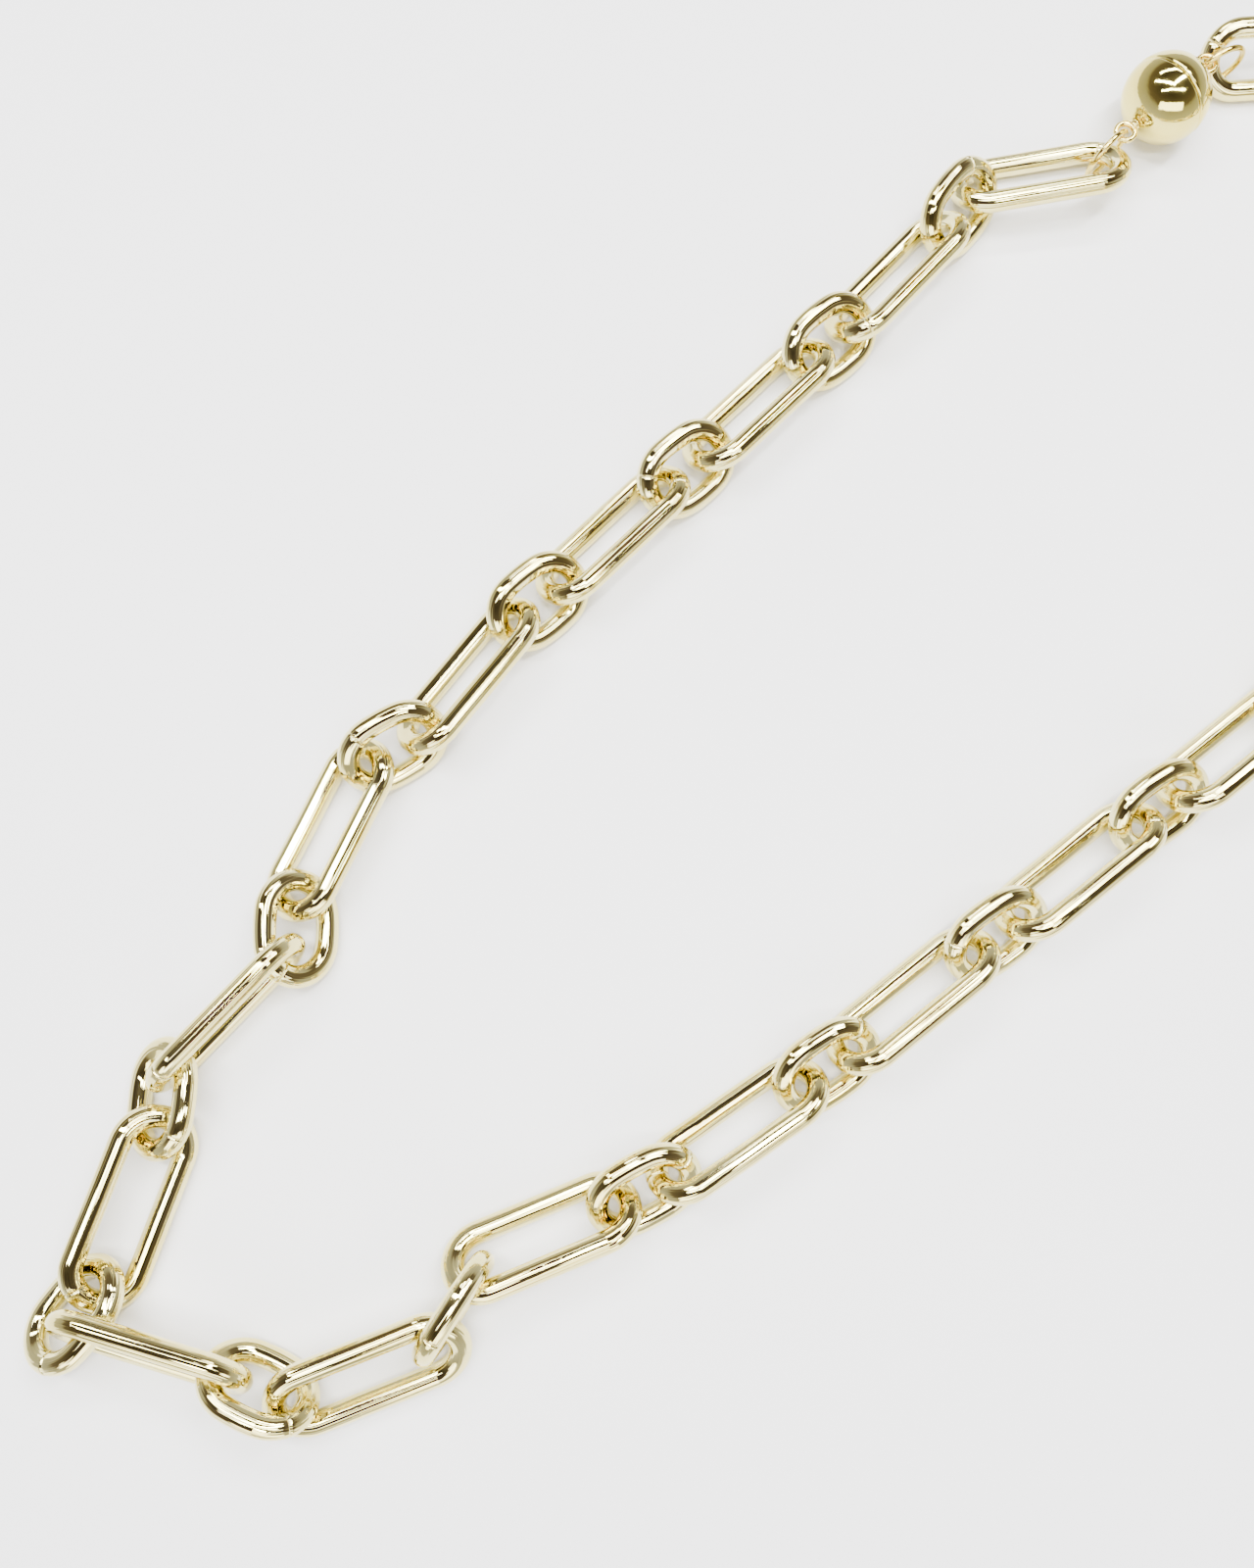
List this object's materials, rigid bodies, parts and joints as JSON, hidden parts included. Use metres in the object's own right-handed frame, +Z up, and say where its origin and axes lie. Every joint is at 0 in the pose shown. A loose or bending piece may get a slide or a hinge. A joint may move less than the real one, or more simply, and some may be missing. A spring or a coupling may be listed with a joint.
{
  "type": "chain necklace",
  "caption": "Closed chain necklace of long and short oval links in round wire, joined by a round magnetic ball clasp between two thin jump rings.",
  "frame": {"origin": "centre of the laid-out necklace's bounding box, on the surface it lies on", "axes": "+Z up from the table, +X to the right and +Y away from the viewer; the loop runs from front left to back right, with the ball clasp at the back"},
  "size_m": [0.1662, 0.1562, 0.01],
  "materials": {
    "link_gold": "polished pale gold plating",
    "clasp_gold": "polished pale gold plating",
    "ring_gold": "polished gold-plated thin wire",
    "magnet_nickel": "nickel-plated disc magnet"
  },
  "bodies": {
    "long_link_01": {"long_link_01": "link_gold"},
    "short_link_01": {"short_link_01": "link_gold"},
    "long_link_02": {"long_link_02": "link_gold"},
    "short_link_02": {"short_link_02": "link_gold"},
    "long_link_03": {"long_link_03": "link_gold"},
    "short_link_03": {"short_link_03": "link_gold"},
    "long_link_04": {"long_link_04": "link_gold"},
    "short_link_04": {"short_link_04": "link_gold"},
    "long_link_05": {"long_link_05": "link_gold"},
    "short_link_05": {"short_link_05": "link_gold"},
    "long_link_06": {"long_link_06": "link_gold"},
    "short_link_06": {"short_link_06": "link_gold"},
    "long_link_07": {"long_link_07": "link_gold"},
    "short_link_07": {"short_link_07": "link_gold"},
    "long_link_08": {"long_link_08": "link_gold"},
    "short_link_08": {"short_link_08": "link_gold"},
    "long_link_09": {"long_link_09": "link_gold"},
    "short_link_09": {"short_link_09": "link_gold"},
    "long_link_10": {"long_link_10": "link_gold"},
    "short_link_10": {"short_link_10": "link_gold"},
    "long_link_11": {"long_link_11": "link_gold"},
    "short_link_11": {"short_link_11": "link_gold"},
    "long_link_12": {"long_link_12": "link_gold"},
    "short_link_12": {"short_link_12": "link_gold"},
    "long_link_13": {"long_link_13": "link_gold"},
    "short_link_13": {"short_link_13": "link_gold"},
    "long_link_14": {"long_link_14": "link_gold"},
    "short_link_14": {"short_link_14": "link_gold"},
    "long_link_15": {"long_link_15": "link_gold"},
    "short_link_15": {"short_link_15": "link_gold"},
    "long_link_16": {"long_link_16": "link_gold"},
    "short_link_16": {"short_link_16": "link_gold"},
    "long_link_17": {"long_link_17": "link_gold"},
    "short_link_17": {"short_link_17": "link_gold"},
    "long_link_18": {"long_link_18": "link_gold"},
    "short_link_18": {"short_link_18": "link_gold"},
    "long_link_19": {"long_link_19": "link_gold"},
    "short_link_19": {"short_link_19": "link_gold"},
    "long_link_20": {"long_link_20": "link_gold"},
    "jump_ring_left": {"jump_ring_left": "ring_gold"},
    "clasp_eye_left": {"clasp_eye_left": "ring_gold"},
    "clasp_half_left": {"clasp_shell_left": "clasp_gold", "clasp_magnet_left": "magnet_nickel"},
    "jump_ring_right": {"jump_ring_right": "ring_gold"},
    "clasp_eye_right": {"clasp_eye_right": "ring_gold"},
    "clasp_half_right": {"clasp_shell_right": "clasp_gold", "clasp_magnet_right": "magnet_nickel"}
  },
  "joints": [
    {"name": "long_link_10_hinge", "type": "hinge", "parent": "short_link_10", "child": "long_link_10", "pos_m": [-0.0411, -0.06693, 0.0045], "axis": [0.8382, -0.5443, 0.0349], "range_deg": [-15, 15]},
    {"name": "short_link_09_hinge", "type": "hinge", "parent": "long_link_10", "child": "short_link_09", "pos_m": [-0.05425, -0.0741, 0.00314], "axis": [0.2106, -0.5487, 0.809], "range_deg": [-15, 15]},
    {"name": "long_link_09_hinge", "type": "hinge", "parent": "short_link_09", "child": "long_link_09", "pos_m": [-0.06073, -0.0723, 0.00365], "axis": [0.3023, 0.6789, 0.6691], "range_deg": [-15, 15]},
    {"name": "short_link_08_hinge", "type": "hinge", "parent": "long_link_09", "child": "short_link_08", "pos_m": [-0.07558, -0.0679, 0.00428], "axis": [0.2573, 0.8974, -0.3584], "range_deg": [-40, 0]},
    {"name": "long_link_08_hinge", "type": "hinge", "parent": "short_link_08", "child": "long_link_08", "pos_m": [-0.07672, -0.06489, 0.00295], "axis": [-0.4176, 0.3263, 0.848], "range_deg": [-15, 15]},
    {"name": "short_link_07_hinge", "type": "hinge", "parent": "long_link_08", "child": "short_link_07", "pos_m": [-0.07112, -0.05048, 0.0027], "axis": [0.4293, -0.1478, 0.891], "range_deg": [-15, 15]},
    {"name": "long_link_07_hinge", "type": "hinge", "parent": "short_link_07", "child": "long_link_07", "pos_m": [-0.07028, -0.04374, 0.00305], "axis": [-0.5578, 0.039, 0.829], "range_deg": [-15, 15]},
    {"name": "short_link_06_hinge", "type": "hinge", "parent": "long_link_07", "child": "short_link_06", "pos_m": [-0.05969, -0.03242, 0.0045], "axis": [0.7312, -0.6819, -0.0175], "range_deg": [-15, 15]},
    {"name": "long_link_06_hinge", "type": "hinge", "parent": "short_link_06", "child": "long_link_06", "pos_m": [-0.05758, -0.02649, 0.00309], "axis": [0.5732, 0.02, 0.8192], "range_deg": [-15, 15]},
    {"name": "short_link_05_hinge", "type": "hinge", "parent": "long_link_06", "child": "short_link_05", "pos_m": [-0.05189, -0.01218, 0.0027], "axis": [0.4115, -0.1919, -0.891], "range_deg": [-15, 15]},
    {"name": "long_link_05_hinge", "type": "hinge", "parent": "short_link_05", "child": "long_link_05", "pos_m": [-0.04645, -0.00815, 0.00353], "axis": [0.3642, -0.6061, 0.7071], "range_deg": [-15, 15]},
    {"name": "short_link_04_hinge", "type": "hinge", "parent": "long_link_05", "child": "short_link_04", "pos_m": [-0.03644, 0.00361, 0.00336], "axis": [-0.517, 0.4039, 0.7547], "range_deg": [-40, 0]},
    {"name": "long_link_04_hinge", "type": "hinge", "parent": "short_link_04", "child": "long_link_04", "pos_m": [-0.03153, 0.0083, 0.00309], "axis": [-0.3725, 0.4362, -0.8192], "range_deg": [0, 40]},
    {"name": "short_link_03_hinge", "type": "hinge", "parent": "long_link_04", "child": "short_link_03", "pos_m": [-0.02039, 0.01908, 0.00319], "axis": [0.4218, -0.4292, -0.7986], "range_deg": [0, 40]},
    {"name": "long_link_03_hinge", "type": "hinge", "parent": "short_link_03", "child": "long_link_03", "pos_m": [-0.0153, 0.02359, 0.00309], "axis": [0.3725, -0.4362, 0.8192], "range_deg": [-40, 0]},
    {"name": "short_link_02_hinge", "type": "hinge", "parent": "long_link_03", "child": "short_link_02", "pos_m": [-0.00417, 0.03437, 0.00319], "axis": [-0.4218, 0.4292, 0.7986], "range_deg": [-40, 0]},
    {"name": "long_link_02_hinge", "type": "hinge", "parent": "short_link_02", "child": "long_link_02", "pos_m": [0.00092, 0.03887, 0.00309], "axis": [-0.3725, 0.4362, -0.8192], "range_deg": [0, 40]},
    {"name": "short_link_01_hinge", "type": "hinge", "parent": "long_link_02", "child": "short_link_01", "pos_m": [0.01161, 0.05009, 0.00332], "axis": [0.4701, -0.4384, -0.766], "range_deg": [0, 40]},
    {"name": "long_link_01_hinge", "type": "hinge", "parent": "short_link_01", "child": "long_link_01", "pos_m": [0.0159, 0.05537, 0.00365], "axis": [0.5856, -0.4575, 0.6691], "range_deg": [-40, 0]},
    {"name": "long_link_11_hinge", "type": "hinge", "parent": "short_link_10", "child": "long_link_11", "pos_m": [-0.0392, -0.064, 0.0045], "axis": [-0.8382, 0.5443, -0.0349], "range_deg": [-15, 15]},
    {"name": "short_link_11_hinge", "type": "hinge", "parent": "long_link_11", "child": "short_link_11", "pos_m": [-0.02605, -0.05669, 0.00314], "axis": [0.2202, -0.545, -0.809], "range_deg": [-15, 15]},
    {"name": "long_link_12_hinge", "type": "hinge", "parent": "short_link_11", "child": "long_link_12", "pos_m": [-0.01997, -0.05364, 0.00319], "axis": [-0.2825, 0.5314, -0.7986], "range_deg": [-15, 15]},
    {"name": "short_link_12_hinge", "type": "hinge", "parent": "long_link_12", "child": "short_link_12", "pos_m": [-0.00704, -0.0451, 0.00349], "axis": [0.3884, -0.5759, -0.7193], "range_deg": [0, 40]},
    {"name": "long_link_13_hinge", "type": "hinge", "parent": "short_link_12", "child": "long_link_13", "pos_m": [-0.0014, -0.0413, 0.00314], "axis": [-0.3287, 0.4873, -0.809], "range_deg": [0, 40]},
    {"name": "short_link_13_hinge", "type": "hinge", "parent": "long_link_13", "child": "short_link_13", "pos_m": [0.01087, -0.03183, 0.00361], "axis": [-0.4503, 0.5763, 0.682], "range_deg": [-40, 0]},
    {"name": "long_link_14_hinge", "type": "hinge", "parent": "short_link_13", "child": "long_link_14", "pos_m": [0.01643, -0.02793, 0.00332], "axis": [0.3594, -0.5329, 0.766], "range_deg": [-40, 0]},
    {"name": "short_link_14_hinge", "type": "hinge", "parent": "long_link_14", "child": "short_link_14", "pos_m": [0.02871, -0.01846, 0.00361], "axis": [0.4503, -0.5763, -0.682], "range_deg": [0, 40]},
    {"name": "long_link_15_hinge", "type": "hinge", "parent": "short_link_14", "child": "long_link_15", "pos_m": [0.03427, -0.01455, 0.00332], "axis": [-0.3594, 0.5329, -0.766], "range_deg": [0, 40]},
    {"name": "short_link_15_hinge", "type": "hinge", "parent": "long_link_15", "child": "short_link_15", "pos_m": [0.04655, -0.00509, 0.00361], "axis": [-0.4503, 0.5763, 0.682], "range_deg": [-40, 0]},
    {"name": "long_link_16_hinge", "type": "hinge", "parent": "short_link_15", "child": "long_link_16", "pos_m": [0.05179, -0.00076, 0.00323], "axis": [0.3975, -0.4701, 0.788], "range_deg": [-40, 0]},
    {"name": "short_link_16_hinge", "type": "hinge", "parent": "long_link_16", "child": "short_link_16", "pos_m": [0.06257, 0.01037, 0.00336], "axis": [0.4763, -0.4512, -0.7547], "range_deg": [0, 40]},
    {"name": "long_link_17_hinge", "type": "hinge", "parent": "short_link_16", "child": "long_link_17", "pos_m": [0.06667, 0.01579, 0.00323], "axis": [-0.5042, 0.3532, -0.788], "range_deg": [0, 40]},
    {"name": "short_link_17_hinge", "type": "hinge", "parent": "long_link_17", "child": "short_link_17", "pos_m": [0.07404, 0.02942, 0.00336], "axis": [-0.5812, 0.3042, 0.7547], "range_deg": [-40, 0]},
    {"name": "long_link_18_hinge", "type": "hinge", "parent": "short_link_17", "child": "long_link_18", "pos_m": [0.07642, 0.03578, 0.00323], "axis": [0.5851, -0.1916, 0.788], "range_deg": [-40, 0]},
    {"name": "short_link_18_hinge", "type": "hinge", "parent": "long_link_18", "child": "short_link_18", "pos_m": [0.07925, 0.05102, 0.00349], "axis": [0.6847, -0.117, -0.7193], "range_deg": [0, 40]},
    {"name": "long_link_19_hinge", "type": "hinge", "parent": "short_link_18", "child": "long_link_19", "pos_m": [0.07848, 0.05773, 0.00323], "axis": [-0.6012, -0.1328, -0.788], "range_deg": [0, 40]},
    {"name": "short_link_19_hinge", "type": "hinge", "parent": "long_link_19", "child": "short_link_19", "pos_m": [0.06951, 0.07032, 0.00357], "axis": [-0.5686, -0.4406, 0.6947], "range_deg": [-40, 0]},
    {"name": "long_link_20_hinge", "type": "hinge", "parent": "short_link_19", "child": "long_link_20", "pos_m": [0.0638, 0.07384, 0.00295], "axis": [0.2045, 0.4889, 0.848], "range_deg": [-40, 0]},
    {"name": "jump_ring_left_twist", "type": "hinge", "parent": "long_link_01", "child": "jump_ring_left", "pos_m": [0.03395, 0.06278, 0.005], "axis": [-0.7504, -0.661, 0], "range_deg": [-5, 30]},
    {"name": "clasp_eye_left_twist", "type": "hinge", "parent": "jump_ring_left", "child": "clasp_eye_left", "pos_m": [0.03395, 0.06278, 0.005], "axis": [-0.7504, -0.661, 0], "range_deg": [-15, 15]},
    {"name": "clasp_half_left_swivel", "type": "hinge", "parent": "clasp_eye_left", "child": "clasp_half_left", "pos_m": [0.03894, 0.06718, 0.005], "axis": [-0.7504, -0.661, 0], "continuous": true},
    {"name": "jump_ring_right_twist", "type": "hinge", "parent": "long_link_20", "child": "jump_ring_right", "pos_m": [0.04393, 0.07157, 0.005], "axis": [0.7504, 0.661, 0], "range_deg": [0, 30]},
    {"name": "clasp_eye_right_twist", "type": "hinge", "parent": "jump_ring_right", "child": "clasp_eye_right", "pos_m": [0.04393, 0.07157, 0.005], "axis": [0.7504, 0.661, 0], "range_deg": [-8, 30]},
    {"name": "clasp_half_right_swivel", "type": "hinge", "parent": "clasp_eye_right", "child": "clasp_half_right", "pos_m": [0.03894, 0.06718, 0.005], "axis": [0.7504, 0.661, 0], "continuous": true}
  ]
}
